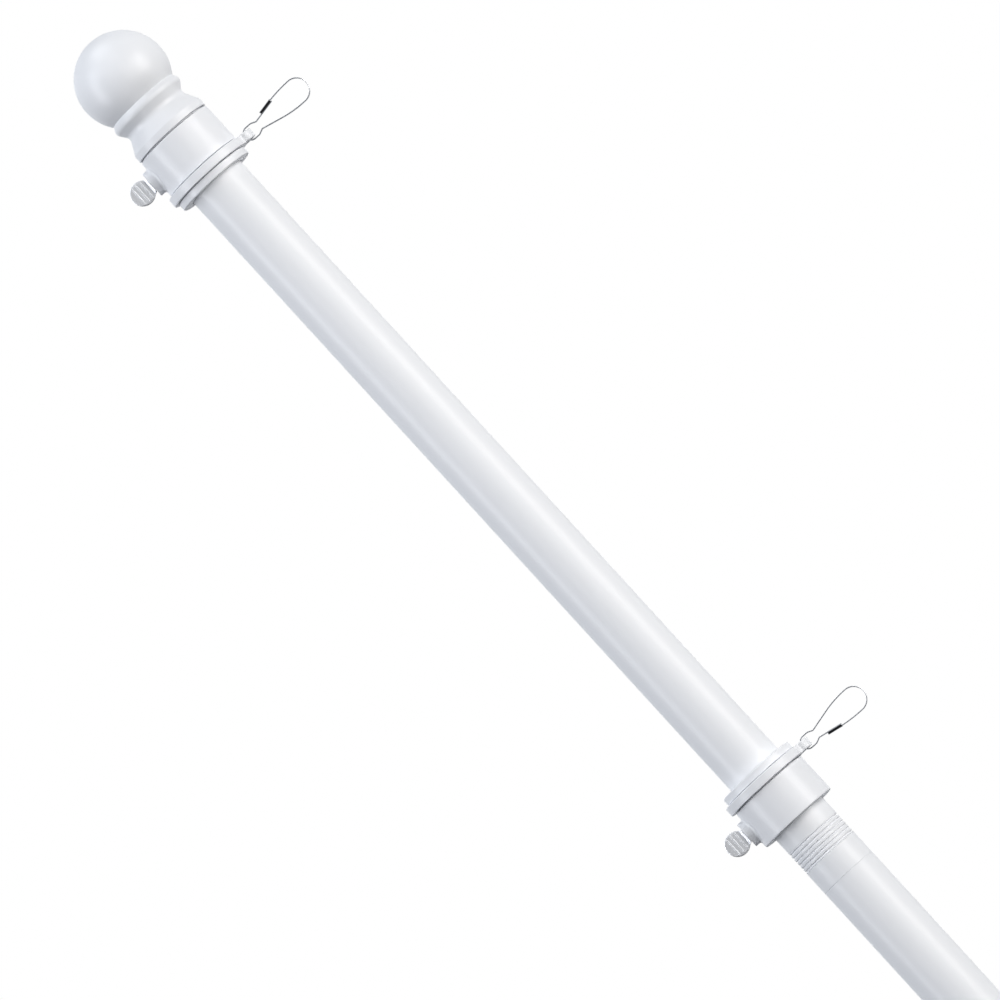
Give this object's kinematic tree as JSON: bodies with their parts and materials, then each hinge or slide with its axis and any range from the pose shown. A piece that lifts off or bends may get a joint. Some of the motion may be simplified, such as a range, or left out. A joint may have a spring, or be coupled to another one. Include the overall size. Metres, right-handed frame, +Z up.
{
  "type": "flagpole",
  "caption": "Sectional tube flagpole with a ball finial and clamped collars whose free-turning rings carry spring clips for a flag.",
  "frame": {"origin": "centre of the flat butt end face, which stands in the bracket's socket", "axes": "+Z up the pole to the ball finial, +X towards the flag's clips, -X towards the thumbscrews"},
  "size_m": [0.0844, 0.04, 1.699],
  "materials": {
    "white_plastic": "glossy white moulding",
    "white_coating": "satin white coating on aluminium",
    "coupling_plastic": "satin white moulding",
    "spring_steel": "polished strip",
    "screw_steel": "satin"
  },
  "bodies": {
    "pole": {"ball_finial": "white_plastic", "tube_section_1": "white_coating", "tube_section_2": "white_coating", "tube_section_3": "white_coating", "tube_section_4": "white_coating", "grip_coupling_1": "coupling_plastic", "grip_coupling_2": "coupling_plastic", "grip_coupling_3": "coupling_plastic", "socket_coupling_1": "coupling_plastic", "socket_coupling_2": "coupling_plastic", "socket_coupling_3": "coupling_plastic", "butt_plug": "coupling_plastic"},
    "upper_collar": {"upper_collar_body": "white_plastic", "upper_retaining_cap": "white_plastic"},
    "upper_ring": {"upper_swivel_ring": "white_plastic"},
    "upper_screw": {"upper_thumbscrew": "screw_steel"},
    "upper_clip": {"upper_snap_clip": "spring_steel"},
    "lower_collar": {"lower_collar_body": "white_plastic", "lower_retaining_cap": "white_plastic"},
    "lower_ring": {"lower_swivel_ring": "white_plastic"},
    "lower_screw": {"lower_thumbscrew": "screw_steel"},
    "lower_clip": {"lower_snap_clip": "spring_steel"}
  },
  "joints": [
    {"name": "upper_collar_slide", "type": "slide", "parent": "pole", "child": "upper_collar", "axis": [0, 0, 1], "range_m": [-0.12, 0]},
    {"name": "upper_ring_spin", "type": "hinge", "parent": "upper_collar", "child": "upper_ring", "pos_m": [0, 0, 1.62815], "axis": [0, 0, 1], "continuous": true},
    {"name": "upper_thumbscrew_turn", "type": "hinge", "parent": "upper_collar", "child": "upper_screw", "pos_m": [-0.0252, 0, 1.6395], "axis": [1, 0, 0], "range_deg": [-360, 0]},
    {"name": "upper_clip_swing", "type": "hinge", "parent": "upper_ring", "child": "upper_clip", "pos_m": [0.0234, 0, 1.62815], "axis": [0, 1, 0], "range_deg": [-85, 85]},
    {"name": "lower_collar_slide", "type": "slide", "parent": "pole", "child": "lower_collar", "axis": [0, 0, 1], "range_m": [-1, 0.12]},
    {"name": "lower_ring_spin", "type": "hinge", "parent": "lower_collar", "child": "lower_ring", "pos_m": [0, 0, 1.29535], "axis": [0, 0, 1], "continuous": true},
    {"name": "lower_thumbscrew_turn", "type": "hinge", "parent": "lower_collar", "child": "lower_screw", "pos_m": [-0.0252, 0, 1.284], "axis": [1, 0, 0], "range_deg": [-360, 0]},
    {"name": "lower_clip_swing", "type": "hinge", "parent": "lower_ring", "child": "lower_clip", "pos_m": [0.0234, 0, 1.29535], "axis": [0, -1, 0], "range_deg": [-85, 85]}
  ]
}
